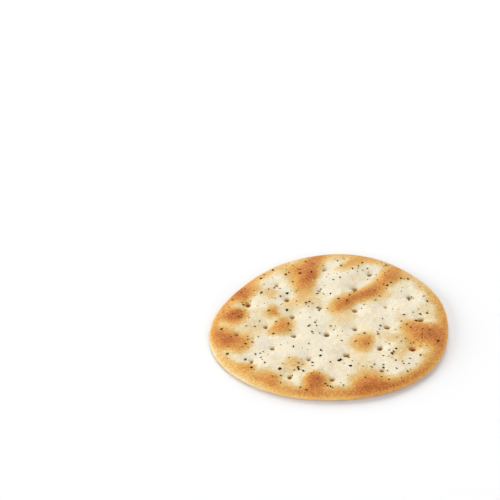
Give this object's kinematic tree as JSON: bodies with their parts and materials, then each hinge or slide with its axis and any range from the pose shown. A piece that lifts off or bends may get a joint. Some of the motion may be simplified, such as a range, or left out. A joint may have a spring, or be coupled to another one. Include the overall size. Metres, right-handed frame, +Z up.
{
  "type": "water cracker",
  "caption": "Thin round baked water cracker with docking holes, raised browned blisters and cracked pepper on its top.",
  "frame": {"origin": "middle of the bounding box's underside, on the table under the centre of the cracker", "axes": "+Z up out of the blistered top, +Y towards the far side in the picture, +X to the right in it"},
  "size_m": [0.0706, 0.0708, 0.0041],
  "materials": {
    "baked_dough": "dry matte baked dough, pale cream with golden brown blisters and rim, flecked with black pepper"
  },
  "bodies": {
    "root": {"cracker": "baked_dough"}
  },
  "joints": []
}
